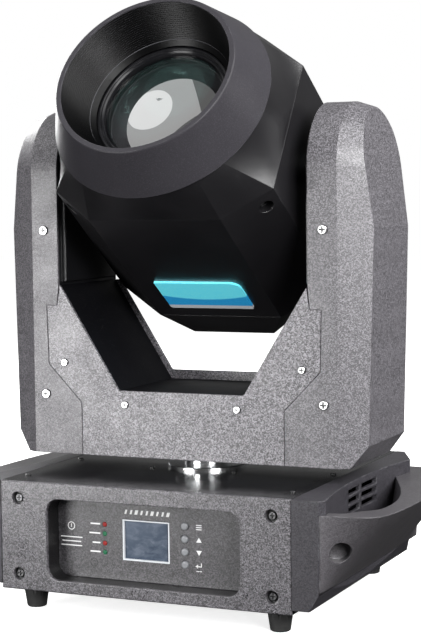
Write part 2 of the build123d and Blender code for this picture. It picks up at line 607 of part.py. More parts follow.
def neck_circle(r, z):
    """The round front opening, split where the body's eight corners run into it."""
    first, second = NECK_ANGLES
    turns = [first, second, 180 - second, 180 - first, 180 + first, 180 + second, 360 - second, 360 - first]
    edges = []
    for i, start in enumerate(turns):
        end = turns[(i + 1) % 8] + (360 if i == 7 else 0)
        spots = [radians(t) for t in (start, (start + end) / 2, end)]
        edges.append(ThreePointArc(*[(r * cos(t), r * sin(t), z) for t in spots]))
    return make_face(edges)


def head_form(inset, z_back):
    back = octagon(WAIST, z_back, inset)
    shoulder = octagon(SHOULDER, SHOULDER_Z, inset)
    front = neck_circle(NECK_R - inset, NECK_Z + (0.01 if inset else 0))
    return loft([back, shoulder], ruled=True) + loft([shoulder, front], ruled=True)


def recess_axis(sx, sy):
    """Where a recessed screw enters the slanted facet, and the facet's outward direction."""
    x, y, z = RECESS_SCREW
    return Plane(origin=(sx * x, sy * y, z), z_dir=(sx * 0.596, sy * 0.803, 0))


def head_shell():
    shell = head_form(0, SEAM_Z) - head_form(WALL, SEAM_Z - 0.01)
    shell -= cyl("X", -140, 140, 16.5)
    for sx in (-1, 1):
        for sy in (-1, 1):
            spot = recess_axis(sx, sy).location
            cup = Pos(0, 0, -6) * Cylinder(9.5, 12)
            shell += spot * (cup & Pos(0, 0, -6.5) * Box(30, 30, 12))
            shell -= spot * (Pos(0, 0, 0) * Cylinder(7.8, 20))
            shell -= spot * (Pos(0, 0, -11) * Cylinder(1.6, 6))
    return shell


def head_rear_cap():
    outer = loft([octagon(WAIST, SEAM_Z - 0.3), octagon(TAIL, TAIL_Z)], ruled=True)
    inner = loft([octagon(WAIST, SEAM_Z - 0.2, WALL), octagon(TAIL, TAIL_Z + WALL, WALL)], ruled=True)
    cap = outer - inner
    for i in range(9):
        y = -32 + 8 * i
        reach = sqrt(38 ** 2 - y ** 2)
        cap -= box(-reach, reach, y - 2, y + 2, TAIL_Z - 1, TAIL_Z + WALL + 1)
    return cap


def hood():
    ribs = []
    depth = HOOD_FRONT_Z - 2.0 - BORE_REAR_Z
    for i in range(RIBS):
        t0, t1 = i / RIBS, (i + 0.55) / RIBS
        r0 = BORE_FRONT_R + (BORE_REAR_R - BORE_FRONT_R) * t0
        r1 = BORE_FRONT_R + (BORE_REAR_R - BORE_FRONT_R) * t1
        z0, z1 = HOOD_FRONT_Z - 2.0 - depth * t0, HOOD_FRONT_Z - 2.0 - depth * t1
        ribs += [(r0 + 0.7, z0), (r1 - 0.3, z1)]
    profile = [(HOOD_REAR_R, HOOD_REAR_Z), (HOOD_FRONT_R + 0.6, HOOD_FRONT_Z - 1.0),
               (HOOD_FRONT_R - 0.4, HOOD_FRONT_Z), (BORE_FRONT_R + 0.4, HOOD_FRONT_Z),
               (BORE_FRONT_R, HOOD_FRONT_Z - 0.8)]
    profile += ribs
    profile += [(BORE_REAR_R, BORE_REAR_Z), (BAND_R, BAND_Z), (BAND_R + 3, BAND_Z),
                (BORE_REAR_R + 3.4, BORE_REAR_Z), (BORE_FRONT_R + 3.0, HOOD_FRONT_Z - 6.0),
                (HOOD_REAR_R - 3.4, HOOD_REAR_Z)]
    face = make_face(Polyline(*[(r, 0, z) for r, z in profile], close=True))
    return revolve(face, Axis.Z)


def lens_ring():
    profile = [(LENS_R + 0.1, 108.0), (LENS_R + 0.1, 116.0), (LENS_R + 2.0, 118.0), (LENS_R + 3.0, 117.2),
               (LENS_R + 4.0, 118.4), (LENS_R + 6.4, 118.4), (LENS_R + 6.4, 112.0), (LENS_R + 3.5, 110.0),
               (LENS_R + 3.5, 91.0), (LENS_R - 3.0, 91.0), (LENS_R - 3.0, 108.0)]
    return revolve(make_face(Polyline(*[(r, 0, z) for r, z in profile], close=True)), Axis.Z)


def front_lens():
    rim = LENS_Z + LENS_EDGE
    radius = (LENS_R ** 2 + LENS_SAG ** 2) / (2 * LENS_SAG)
    half = asin(LENS_R / radius) / 2
    mid = (radius * sin(half), 0, rim + LENS_SAG - radius * (1 - cos(half)))
    lines = Polyline((0, 0, rim + LENS_SAG), (0, 0, LENS_Z), (LENS_R, 0, LENS_Z), (LENS_R, 0, rim)).edges()
    dome = ThreePointArc((LENS_R, 0, rim), mid, (0, 0, rim + LENS_SAG))
    return revolve(make_face(list(lines) + [dome]), Axis.Z)


def badge():
    y0 = -WAIST[3] - BADGE_THICK
    plate = box(-BADGE_HALF_X, BADGE_HALF_X, y0, y0 + BADGE_THICK,
                BADGE_Z - BADGE_HALF_Z, BADGE_Z + BADGE_HALF_Z)
    corners = plate.edges().filter_by(Axis.Y)
    low = [e for e in corners if e.center().Z < BADGE_Z]
    high_right = [e for e in corners if e.center().Z > BADGE_Z and e.center().X > 0]
    plate = fillet(low, 3.0)
    return fillet(plate.edges().filter_by(Axis.Y).sort_by_distance(high_right[0].center())[0], 11.0)


def head_chassis():
    frame = both_sides(box(CHASSIS_X0, CHASSIS_X1, -60, 60, -100, 88))
    frame += box(-CHASSIS_X0, CHASSIS_X0, -60, 60, -64, -61)
    frame += box(-CHASSIS_X0, CHASSIS_X0, -60, 60, 10, 13)
    frame += box(-CHASSIS_X1, CHASSIS_X1, -64, 64, 88, 91) + box(-8, 8, -46, -36, -6, 10)
    frame += prism_holder() + both_sides(cyl("Z", 12, 89, 4.0, (62, -30)))
    frame -= both_sides(cyl("X", CHASSIS_X0 - 1, CHASSIS_X1 + 1, TILT_BORE_R))
    frame -= cyl("Z", -70, -50, 30.0) + cyl("Z", 0, 20, 32.0) + cyl("Z", 80, 95, 55.0)
    return frame


def tilt_axles():
    """A hollow flanged axle on each side of the chassis; the right one carries the belt's pulley."""
    axles = both_sides(cyl("X", CHASSIS_X1, CHASSIS_X1 + 3, 27.0))
    axles += cyl("X", CHASSIS_X1, 164.5, TILT_SHAFT_R) + cyl("X", -149.5, -CHASSIS_X1, TILT_SHAFT_R)
    axles += cyl("X", TILT_BELT_X0, TILT_BELT_X1, TILT_PULLEY_R)
    axles += cyl("X", TILT_BELT_X1, TILT_BELT_X1 + 1, TILT_PULLEY_R + 3)
    return axles - cyl("X", -170, 170, TILT_BORE_R)


def lamp():
    body = cyl("Z", -136, -112, 11.0) + cyl("Z", -112, -96, 5.5)
    body += Pos(0, 0, -93) * Sphere(8.0) + cyl("Z", -90, -78, 3.0)
    return body + cyl("Z", -136, -131, 16.0)


def reflector():
    outer = [(13.0, -114.0), (30.0, -104.0), (43.0, -86.0), (48.0, -64.0)]
    inner = [(45.5, -64.0), (40.6, -85.0), (28.2, -101.8), (13.0, -111.0)]
    return revolve(make_face(Polyline(*[(r, 0, z) for r, z in outer + inner], close=True)), Axis.Z)


def effect_wheel(z, centre_y, radius, holes, hole_r):
    """A disc on its own hub with a ring of apertures, one of them on the beam."""
    wheel = cyl("Z", z, z + 2, radius, (0, centre_y)) + cyl("Z", z - 1, z + 3, 7.0, (0, centre_y))
    reach = -centre_y
    for i in range(holes):
        a = 2 * pi * i / holes + pi / 2
        spot = (reach * cos(a), centre_y - abs(reach) * sin(a))
        wheel -= cyl("Z", z - 1, z + 3, hole_r, spot)
    return wheel - cyl("Z", z - 5, z + 5, 2.5 + RUNNING_GAP, (0, centre_y))


def prism_wheel():
    carrier = cyl("Z", -4, 0, 26.0) - cyl("Z", -5, 1, 19.0)
    prism = cyl("Z", -3, 2, 19.0)
    for turn in (0, 120, 240):
        wedge = Rot(0, 0, turn) * Pos(14, 0, 4.2) * Rot(0, 20, 0) * Box(28, 60, 6)
        prism -= wedge
    return carrier + prism


def prism_holder():
    holder = ring("Z", -4.5, 0.5, 26.0 + RUNNING_GAP, 31.0)
    holder += both_sides(box(30, CHASSIS_X0, -16, 16, -4.5, 0.5))
    return holder


def wheel_motors():
    colour = motor_body(14.0, -61, -50, "Z", (0, 32)) + cyl("Z", -50, -37, 2.5, (0, 32))
    gobo = motor_body(14.0, -26, -6, "Z", (0, -32)) + cyl("Z", -39, -26, 2.5, (0, -32))
    return colour + gobo


def focus_carriage():
    carriage = box(-72, 72, -40, -20, 40, 46) + cyl("Z", 40, 46, 38.0)
    carriage -= cyl("Z", 30, 50, 30.0)
    for x in (-62, 62):
        carriage -= cyl("Z", 30, 50, 4.0 + RUNNING_GAP, (x, -30))
    # its lens: a flat back and a domed front
    return carriage + cyl("Z", 41, 45, 30.0) + (Pos(0, 0, -8.5) * Sphere(61.5) & cyl("Z", 45, 60, 30.0))


def fan_frame():
    frame = box(-40, 40, -40, 40, -158.5, -143.5) - cyl("Z", -160, -140, 38.0)
    for turn in (45, 135):
        frame += Rot(0, 0, turn) * box(-39, 39, -2, 2, -146, -143.5)
    frame += cyl("Z", -147, -143.5, 14.0)
    return frame - cyl("Z", -160, -144.5, 3.0 + RUNNING_GAP)


def fan_blades():
    blades = cyl("Z", -157.5, -147.5, 14.0) + cyl("Z", -148, -145, 3.0)
    blade = Pos(25, 0, -152.5) * Rot(35, 0, 0) * Box(23, 11, 1.4)
    for i in range(7):
        blades += Rot(0, 0, 360 / 7 * i) * blade
    return blades


def head_screws():
    screws = Part()
    for sx in (-1, 1):
        for sy in (-1, 1):
            plane = recess_axis(sx, sy)
            direction = (sx * 0.596, sy * 0.803, 0)
            seat = plane.origin - plane.z_dir * 10.0
            screws += screw(tuple(seat), direction, 3.4, 6, 2.0, 1.6)
    return screws


def in_head(shape):
    return HEAD.location * shape


def pieces():
    """Every node of the light, by name, in the light's own frame."""
    shell, handle, cover, inner = side_shell(), carry_handle(), arm_cover(), inner_cover()
    nodes = {
        "base_tray": base_tray(), "base_top_plate": base_top_plate(), "front_bezel": front_bezel(),
        "control_panel": control_panel(), "display_module": display_module(), "status_lights_red": status_lights(RED_Z),
        "status_lights_green": status_lights(GREEN_Z), "control_board": control_board(),
        "side_shell_right": shell, "side_shell_left": mirror_x(shell),
        "carry_handle_right": handle, "carry_handle_left": mirror_x(handle),
        "power_inlet": power_inlet(), "power_switch": power_switch(),
        "power_rocker": power_rocker(), "data_sockets": data_sockets(),
        "rubber_feet": rubber_feet(), "power_supply": power_supply(), "driver_board": driver_board(),
        "pan_hub": pan_hub(), "base_screws": base_screws(),
        "yoke_frame": yoke_frame(), "arm_cover_right": cover, "arm_cover_left": mirror_x(cover),
        "inner_cover_right": inner, "inner_cover_left": mirror_x(inner),
        "lower_plate_front": lower_plate(-1), "lower_plate_rear": lower_plate(1), "saddle": saddle(),
        "pan_bearing": pan_bearing(), "pan_motor": pan_motor(), "pan_motor_pulley": pan_motor_pulley(),
        "pan_belt": pan_belt(), "tilt_bearings": tilt_bearings(), "tilt_motor": tilt_motor(),
        "tilt_motor_pulley": tilt_motor_pulley(), "tilt_belt": tilt_belt(),
        "yoke_screws": face_screws(PLATE_SCREWS, 4.0, 6.0) + face_screws(ARM_SCREWS, 5.0, 6.0),
    }
    for i, z in enumerate(BUTTON_Z):
        nodes[f"menu_button_{i + 1}"] = menu_button(z)
    head = {
        "head_shell": head_shell(), "head_rear_cap": head_rear_cap(), "hood": hood(),
        "lens_ring": lens_ring(), "front_lens": front_lens(), "badge": badge(),
        "head_chassis": head_chassis(), "tilt_axles": tilt_axles(), "lamp": lamp(),
        "reflector": reflector(), "colour_wheel": effect_wheel(-44.0, 32.0, 50.0, 9, 9.0),
        "gobo_wheel": effect_wheel(-34.0, -32.0, 50.0, 8, 8.0), "prism_wheel": prism_wheel(),
        "wheel_motors": wheel_motors(), "focus_carriage": focus_carriage(), "fan_frame": fan_frame(),
        "fan_blades": fan_blades(), "head_screws": head_screws(),
    }
    nodes.update({name: in_head(shape) for name, shape in head.items()})
    return nodes


for name, shape in pieces().items():
    export_step(shape, f"parts/{name}.step")
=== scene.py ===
import json
import math

import bmesh
import bpy
from mathutils import Matrix, Vector


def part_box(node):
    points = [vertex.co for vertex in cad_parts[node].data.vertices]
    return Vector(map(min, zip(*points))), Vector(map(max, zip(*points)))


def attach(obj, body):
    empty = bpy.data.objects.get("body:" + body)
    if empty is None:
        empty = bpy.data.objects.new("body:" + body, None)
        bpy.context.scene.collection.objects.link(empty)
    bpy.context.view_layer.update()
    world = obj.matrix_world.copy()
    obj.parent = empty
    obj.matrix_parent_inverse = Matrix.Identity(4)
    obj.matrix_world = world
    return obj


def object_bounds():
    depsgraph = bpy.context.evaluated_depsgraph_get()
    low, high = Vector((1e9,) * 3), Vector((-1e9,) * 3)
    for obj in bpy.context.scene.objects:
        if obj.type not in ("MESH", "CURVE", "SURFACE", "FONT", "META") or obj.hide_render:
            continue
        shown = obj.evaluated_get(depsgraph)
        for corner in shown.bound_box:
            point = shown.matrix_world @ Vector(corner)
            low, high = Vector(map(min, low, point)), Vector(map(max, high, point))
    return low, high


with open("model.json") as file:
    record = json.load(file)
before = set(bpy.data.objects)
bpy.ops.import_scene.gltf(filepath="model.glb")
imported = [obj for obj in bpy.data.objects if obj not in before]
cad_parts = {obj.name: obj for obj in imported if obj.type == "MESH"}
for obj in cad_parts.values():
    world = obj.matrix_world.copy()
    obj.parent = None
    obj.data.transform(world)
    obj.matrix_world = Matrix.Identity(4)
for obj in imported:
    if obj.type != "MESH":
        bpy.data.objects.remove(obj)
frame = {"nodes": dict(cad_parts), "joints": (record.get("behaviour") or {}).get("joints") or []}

CAD_LOW, CAD_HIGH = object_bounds()
NODES = frame["nodes"]
MM = 0.001


# ------------------------------------------------------------ material helpers

class Graph:
    """A material's node tree, with short calls for the nodes used here."""

    def __init__(self, name):
        self.material = bpy.data.materials.new(name)
        self.material.use_nodes = True
        self.tree = self.material.node_tree
        self.tree.nodes.clear()
        self.output = self.tree.nodes.new("ShaderNodeOutputMaterial")
        self.shader = self.tree.nodes.new("ShaderNodeBsdfPrincipled")
        self.link(self.shader.outputs[0], self.output.inputs["Surface"])
        coordinates = self.tree.nodes.new("ShaderNodeTexCoord")
        self.place = coordinates.outputs["Object"]

    def link(self, a, b):
        self.tree.links.new(a, b)

    def put(self, value, socket):
        """A link if the value is another node's socket, and otherwise the socket's own value."""
        if isinstance(value, bpy.types.NodeSocket):
            self.link(value, socket)
        elif value is not None:
            socket.default_value = value

    def set(self, **values):
        """Sets the shader's inputs, named with _ for each space."""
        for name, value in values.items():
            self.put(value, self.shader.inputs[name.replace("_", " ")])

    def noise(self, size, detail=2.0, rough=0.5, place=None, distortion=0.0):
        """Noise with features about `size` metres across."""
        n = self.tree.nodes.new("ShaderNodeTexNoise")
        self.put(place or self.place, n.inputs["Vector"])
        n.inputs["Scale"].default_value = 1.0 / size
        n.inputs["Detail"].default_value = detail
        n.inputs["Roughness"].default_value = rough
        n.inputs["Distortion"].default_value = distortion
        return n.outputs["Fac"]

    def cell_edges(self, size):
        """Distance to the edges of cells about `size` metres across, as a share of a cell."""
        n = self.tree.nodes.new("ShaderNodeTexVoronoi")
        n.feature = "DISTANCE_TO_EDGE"
        self.put(self.place, n.inputs["Vector"])
        n.inputs["Scale"].default_value = 1.0 / size
        return n.outputs["Distance"]

    def grit(self, size):
        """A random level for each grain about `size` metres across."""
        n = self.tree.nodes.new("ShaderNodeTexVoronoi")
        self.put(self.place, n.inputs["Vector"])
        n.inputs["Scale"].default_value = 1.0 / size
        split = self.tree.nodes.new("ShaderNodeSeparateColor")
        self.link(n.outputs["Color"], split.inputs[0])
        return split.outputs[0]

    def stretch(self, scale):
        n = self.tree.nodes.new("ShaderNodeVectorMath")
        n.operation = "MULTIPLY"
        self.put(self.place, n.inputs[0])
        n.inputs[1].default_value = scale
        return n.outputs[0]

    def math(self, operation, a, b=0.0, clamp=False):
        n = self.tree.nodes.new("ShaderNodeMath")
        n.operation = operation
        n.use_clamp = clamp
        self.put(a, n.inputs[0])
        self.put(b, n.inputs[1])
        return n.outputs[0]

    def along(self, direction, origin=(0, 0, 0)):
        """Distance from an origin along a direction, in the object's own frame."""
        n = self.tree.nodes.new("ShaderNodeVectorMath")
        n.operation = "DOT_PRODUCT"
        self.put(self.place, n.inputs[0])
        n.inputs[1].default_value = tuple(direction)
        return self.math("SUBTRACT", n.outputs["Value"], Vector(origin).dot(Vector(direction)))

    def off_beam(self):
        """Distance from the beam's axis."""
        up, side = self.along(HEAD_UP, TILT_AXIS), self.along((1, 0, 0), TILT_AXIS)
        return self.math("SQRT", self.math("ADD", self.math("MULTIPLY", up, up),
                                           self.math("MULTIPLY", side, side)))

    def ramp(self, value, low, high, out_low=0.0, out_high=1.0):
        n = self.tree.nodes.new("ShaderNodeMapRange")
        self.put(value, n.inputs["Value"])
        for i, v in enumerate((low, high, out_low, out_high)):
            n.inputs[i + 1].default_value = v
        return n.outputs["Result"]

    def mix(self, factor, a, b):
        n = self.tree.nodes.new("ShaderNodeMix")
        n.data_type = "RGBA"
        self.put(factor, n.inputs["Factor"])
        self.put(a if isinstance(a, bpy.types.NodeSocket) else rgba(a), n.inputs["A"])
        self.put(b if isinstance(b, bpy.types.NodeSocket) else rgba(b), n.inputs["B"])
        return n.outputs["Result"]

    def bump(self, height, depth, normal=None):
        n = self.tree.nodes.new("ShaderNodeBump")
        self.put(height, n.inputs["Height"])
        n.inputs["Distance"].default_value = depth
        n.inputs["Strength"].default_value = 1.0
        if normal is not None:
            self.link(normal, n.inputs["Normal"])
        return n.outputs["Normal"]

    def rounded(self, radius):
        """Normals that turn over sharp edges as if they were rounded."""
        soft = self.tree.nodes.new("ShaderNodeBevel")
        soft.samples = 6
        soft.inputs["Radius"].default_value = radius
        return soft.outputs[0]

    def worn_edges(self, soft):
        """1 on sharp edges, from how far a rounded normal leans away from the flat one."""
        flat = self.tree.nodes.new("ShaderNodeNewGeometry")
        dot = self.tree.nodes.new("ShaderNodeVectorMath")
        dot.operation = "DOT_PRODUCT"
        self.link(soft, dot.inputs[0])
        self.link(flat.outputs["True Normal"], dot.inputs[1])
        return self.ramp(dot.outputs["Value"], 0.995, 0.90)


def rgba(colour):
    return tuple(colour) + (1.0,) if len(colour) == 3 else tuple(colour)


def shade(colour, k):
    return tuple(min(1.0, c * k) for c in colour)


# ------------------------------------------------------------ materials

# Edge colours: rubbed paint; on plastic, rubbed edges that are also a painted edge highlight.
WORN_PAINT, WORN_AND_LIT_EDGE_PLASTIC = (0.36, 0.36, 0.37), (0.22, 0.22, 0.23)
PAINT_WEAR = 0.08


def powder_coat(name, colour, grain, depth, roughness, speckle, thin=None):
    """Sand-grain paint: a pebbled surface of dark and pale grains, with rubbed edges.

    With `thin`, (direction, distance, colour share), the colour is darkened past that plane as painted
    shade in a recess.
    """
    g = Graph(name)
    fine, grains = g.noise(grain, 3.0, 0.65), g.grit(grain)
    grains = g.math("POWER", grains, 1.5)
    cloud = g.ramp(g.noise(0.09, 3.0), 0.3, 0.7)
    dark = g.mix(cloud, shade(colour, 0.95 - speckle), shade(colour, 1.01 - speckle))
    pale = g.mix(cloud, shade(colour, 0.95 + 2.2 * speckle), shade(colour, 1.05 + 2.2 * speckle))
    base = g.mix(grains, dark, pale)
    # painted shade: past the plane the colour is darkened to stand for the shade in a recess
    if thin:
        direction, distance, share = thin
        past = g.ramp(g.along(direction), distance, distance + 2 * MM)
        base = g.mix(past, base, shade(colour, share))
    soft = g.rounded(1.4 * MM)
    rubbed = g.math("MULTIPLY", g.worn_edges(soft), g.ramp(g.noise(0.012, 3.0), 0.42, 0.62))
    base = g.mix(g.math("MULTIPLY", rubbed, PAINT_WEAR), base, WORN_PAINT)
    rough = g.ramp(g.noise(0.03, 3.0), 0.3, 0.7, roughness - 0.05, roughness + 0.06)
    height = g.math("ADD", fine, g.math("MULTIPLY", grains, 0.6))
    g.set(Base_Color=base, Roughness=rough, Normal=g.bump(height, depth, soft), Specular_IOR_Level=0.6)
    return g.material


def moulded_graph(name, colour, grain, depth, roughness,
                  wear=0.12, coat=0.0, edge=1.2, specular=0.5, speckle=0.0):
    """Moulded plastic: fine etched grain, slow changes in sheen, faint scuffs, and paler edges that are
    partly rubbing and partly a painted edge highlight.
    """
    g = Graph(name)
    fine = g.noise(grain, 2.0, 0.6)
    cloud = g.noise(0.07, 3.0)
    base = g.mix(g.ramp(cloud, 0.3, 0.7), shade(colour, 0.9), shade(colour, 1.12))
    base = g.mix(g.math("MULTIPLY", g.ramp(fine, 0.5, 0.7), 0.5), base, shade(colour, 2.2))
    if speckle:
        base = g.mix(g.math("MULTIPLY", g.grit(grain), speckle), base, shade(colour, 3.5))
    soft = g.rounded(edge * MM)
    rubbed = g.math("MULTIPLY", g.worn_edges(soft), g.ramp(g.noise(0.015, 3.0), 0.45, 0.65))
    # paler edges: partly rubbing, partly a painted edge highlight, strongest on the handle, side and hood
    base = g.mix(g.math("MULTIPLY", rubbed, wear), base, WORN_AND_LIT_EDGE_PLASTIC)
    scuffs = g.ramp(g.noise(0.006, 4.0, 0.7, g.stretch((1.0, 0.25, 0.6))), 0.62, 0.75)
    rough = g.math("ADD", g.ramp(cloud, 0.3, 0.7, roughness - 0.04, roughness + 0.05),
                   g.math("MULTIPLY", scuffs, 0.12))
    g.set(Base_Color=base, Roughness=rough, Normal=g.bump(fine, depth, soft), Coat_Weight=coat,
          Coat_Roughness=0.15, Specular_IOR_Level=specular)
    return g


def moulded(*measures, **options):
    """The same plastic as a finished material."""
    return moulded_graph(*measures, **options).material


def hood_plastic(name, colour, grain, depth, roughness):
    """Moulded plastic. In the hood's bore the colour is painted shade, near black in the grooves and past
    the ribs, with a pale painted highlight on each rib's crest.
    """
    g = moulded_graph(name, colour, grain, depth, roughness, wear=0.5, edge=0.5, specular=0.10)
    forward = g.along(BEAM, TILT_AXIS)
    beat = g.math("FRACT", g.math("DIVIDE", g.math("SUBTRACT", RIB_FRONT, forward), RIB_PITCH))
    # painted light: pale rib crests stand for glints, and near-black grooves and floor for the bore's shade
    bore = g.mix(g.ramp(beat, 0.60, 0.72), RIB_GROOVE_PAINTED_SHADE, RIB_CREST_PAINTED_HIGHLIGHT)
    bore = g.mix(g.math("LESS_THAN", forward, RIB_FRONT - RIB_DEPTH), bore, BORE_FLOOR_PAINTED_SHADE)
    slope = g.math("MULTIPLY", g.math("SUBTRACT", HOOD_FRONT, forward), BORE_TAPER)
    inside = g.math("LESS_THAN", g.math("ADD", g.off_beam(), slope), BORE_RADIUS + RIB_HEIGHT)
    inside = g.math("MULTIPLY", inside, g.math("LESS_THAN", forward, HOOD_FRONT - LIP))
    outside = g.shader.inputs["Base Color"].links[0].from_socket
    g.set(Base_Color=g.mix(inside, outside, bore))
    return g.material


def glossy_paint(name, colour, roughness, specular=0.5):
    """Smooth paint with orange peel and dust."""
    g = Graph(name)
    peel = g.noise(2.2 * MM, 1.0)
    dust = g.ramp(g.noise(0.0016, 2.0, 0.7), 0.66, 0.76)
    base = g.mix(g.math("MULTIPLY", dust, 0.25), colour, (0.25, 0.25, 0.25))
    rough = g.math("ADD", g.ramp(g.noise(0.05, 3.0), 0.3, 0.7, roughness - 0.03, roughness + 0.05),
                   g.math("MULTIPLY", dust, 0.2))
    g.set(Base_Color=base, Roughness=rough, Normal=g.bump(peel, 0.00004), Specular_IOR_Level=specular)
    return g.material


def rubber(name, colour):
    """Matt rubber with a fine grain and paler, dusty patches."""
    g = Graph(name)
    fine = g.noise(0.5 * MM, 3.0, 0.7)
    base = g.mix(g.ramp(g.noise(0.01, 3.0), 0.35, 0.7), colour, shade(colour, 2.0))
    g.set(Base_Color=base, Roughness=g.ramp(fine, 0.3, 0.7, 0.62, 0.85), Normal=g.bump(fine, 0.0001))
    return g.material


def metal(name, colour, roughness, brushed=(1.0, 1.0, 1.0), tarnish=0.25):
    """Bare metal with fine lines along the axis that `brushed` stretches least."""
    g = Graph(name)
    lines = g.noise(0.6 * MM, 3.0, 0.7, g.stretch(brushed))
    stain = g.ramp(g.noise(0.008, 4.0, 0.6), 0.45, 0.75)
    base = g.mix(g.math("MULTIPLY", stain, tarnish), colour, shade(colour, 0.45))
    rough = g.math("ADD", g.ramp(lines, 0.3, 0.7, roughness - 0.05, roughness + 0.08),
                   g.math("MULTIPLY", stain, 0.15))
    g.set(Base_Color=base, Roughness=rough, Normal=g.bump(lines, 0.00003), Metallic=1.0)
    return g.material


def screw_metal(name, colour, roughness, heads):
    """Screws whose drives and head sides below the flat tops are painted near black as painted shade.
    `heads` has a direction and a height for each set of flat tops.
    """
    g = Graph(name)
    stain = g.ramp(g.noise(0.008, 4.0, 0.6), 0.45, 0.75)
    base = g.mix(g.math("MULTIPLY", stain, 0.4), colour, shade(colour, 0.45))
    top = None
    for direction, height in heads:
        on_top = g.math("GREATER_THAN", g.along(direction), height - DRIVE_DEPTH)
        top = on_top if top is None else g.math("MAXIMUM", top, on_top)
    # painted shade: below the flat tops the colour is near black and not metallic
    g.set(Base_Color=g.mix(top, shade(colour, 0.03), base), Metallic=top,
          Roughness=g.ramp(stain, 0, 1, roughness, roughness + 0.15))
    return g.material


def glass(name, colour, ior):
    """Clear glass with a trace of dust that only changes how sharply it shines."""
    g = Graph(name)
    dust = g.ramp(g.noise(0.002, 3.0, 0.7), 0.60, 0.85, 0.0, 0.04)
    g.set(Base_Color=rgba(colour), Roughness=dust, Transmission_Weight=1.0, IOR=ior)
    return g.material


def front_glass(name, colour):
    """The front lens: dark coated glass with a strong sheen, its edge blackened."""
    g = Graph(name)
    clear = g.ramp(g.off_beam(), LENS_CLEAR_R + 0.4 * MM, LENS_CLEAR_R)
    dust = g.ramp(g.noise(0.002, 3.0, 0.7), 0.60, 0.85, 0.0, 0.03)
    g.set(Base_Color=g.mix(clear, BLACK, colour), Transmission_Weight=clear, Roughness=dust,
          IOR=1.52, Coat_Weight=1.0, Coat_IOR=3.5, Coat_Roughness=0.0)
    return g.material


def clear_lamp(name, colour, glow):
    """A small tinted lamp, mottled and dimly lit."""
    g = Graph(name)
    mottle = g.ramp(g.noise(1.2 * MM, 2.0), 0.3, 0.7)
    g.set(Base_Color=g.mix(mottle, shade(colour, 0.6), colour), Roughness=0.3, Specular_IOR_Level=0.2,
          Emission_Color=rgba(colour), Emission_Strength=glow)
    return g.material


def printed(name, colour):
    """Screen-printed ink: slightly uneven cover."""
    g = Graph(name)
    thin = g.ramp(g.noise(0.7 * MM, 3.0, 0.7), 0.3, 0.7)
    g.set(Base_Color=g.mix(thin, shade(colour, 0.82), colour), Roughness=g.ramp(thin, 0, 1, 0.4, 0.55),
          Normal=g.bump(thin, 0.00003))
    return g.material


def circuit_board(name):
    """Green lacquer over a net of paler tracks."""
    g = Graph(name)
    tracks = g.ramp(g.cell_edges(4 * MM), 0.05, 0.12)
    g.set(Base_Color=g.mix(tracks, (0.09, 0.32, 0.10), (0.01, 0.10, 0.03)),
          Roughness=g.ramp(tracks, 0, 1, 0.28, 0.38), Normal=g.bump(tracks, 0.00005))
    return g.material


def display(name, node):
    """A blue-grey liquid crystal display with a faint raster and a painted sheen that lightens it towards
    the top and left, inside a pale moulded frame.
    """
    low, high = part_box(node)
    border = 4.3 * MM
    size = high - low
    middle = (low + high) / 2
    g = Graph(name)
    up = g.ramp(g.along((0, 0, 1), low), 0.0, size.z)
    across = g.ramp(g.along((1, 0, 0), low), 0.0, size.x)
    # painted sheen: the colour is lighter towards the top and the left
    sheen = g.math("ADD", g.math("MULTIPLY", up, 0.6), g.math("MULTIPLY", across, -0.35), clamp=True)
    smear = g.noise(0.016, 4.0, 0.6, g.stretch((1.0, 1.0, 1.8)), 0.6)
    tone = g.mix(sheen, (0.045, 0.06, 0.085), (0.14, 0.165, 0.21))
    tone = g.mix(g.ramp(smear, 0.45, 0.75, 0.0, 0.30), tone, (0.24, 0.27, 0.33))
    wave = g.tree.nodes.new("ShaderNodeTexWave")
    wave.bands_direction = "Z"
    g.put(g.place, wave.inputs["Vector"])
    wave.inputs["Scale"].default_value = 1600.0
    tone = g.mix(g.math("MULTIPLY", wave.outputs["Fac"], 0.05), tone, (0.02, 0.03, 0.05))
    beside = g.math("GREATER_THAN", g.math("ABSOLUTE", g.along((1, 0, 0), middle)), size.x / 2 - border)
    above = g.math("GREATER_THAN", g.math("ABSOLUTE", g.along((0, 0, 1), middle)), size.z / 2 - border)
    rim = g.math("MAXIMUM", beside, above)
    mottle = g.ramp(g.noise(0.5 * MM, 2.0), 0.3, 0.7)
    tone = g.mix(rim, tone, g.mix(mottle, (0.52, 0.54, 0.57), (0.66, 0.68, 0.70)))
    g.set(Base_Color=tone, Roughness=g.ramp(smear, 0.4, 0.7, 0.16, 0.30), Specular_IOR_Level=0.12)
    return g.material


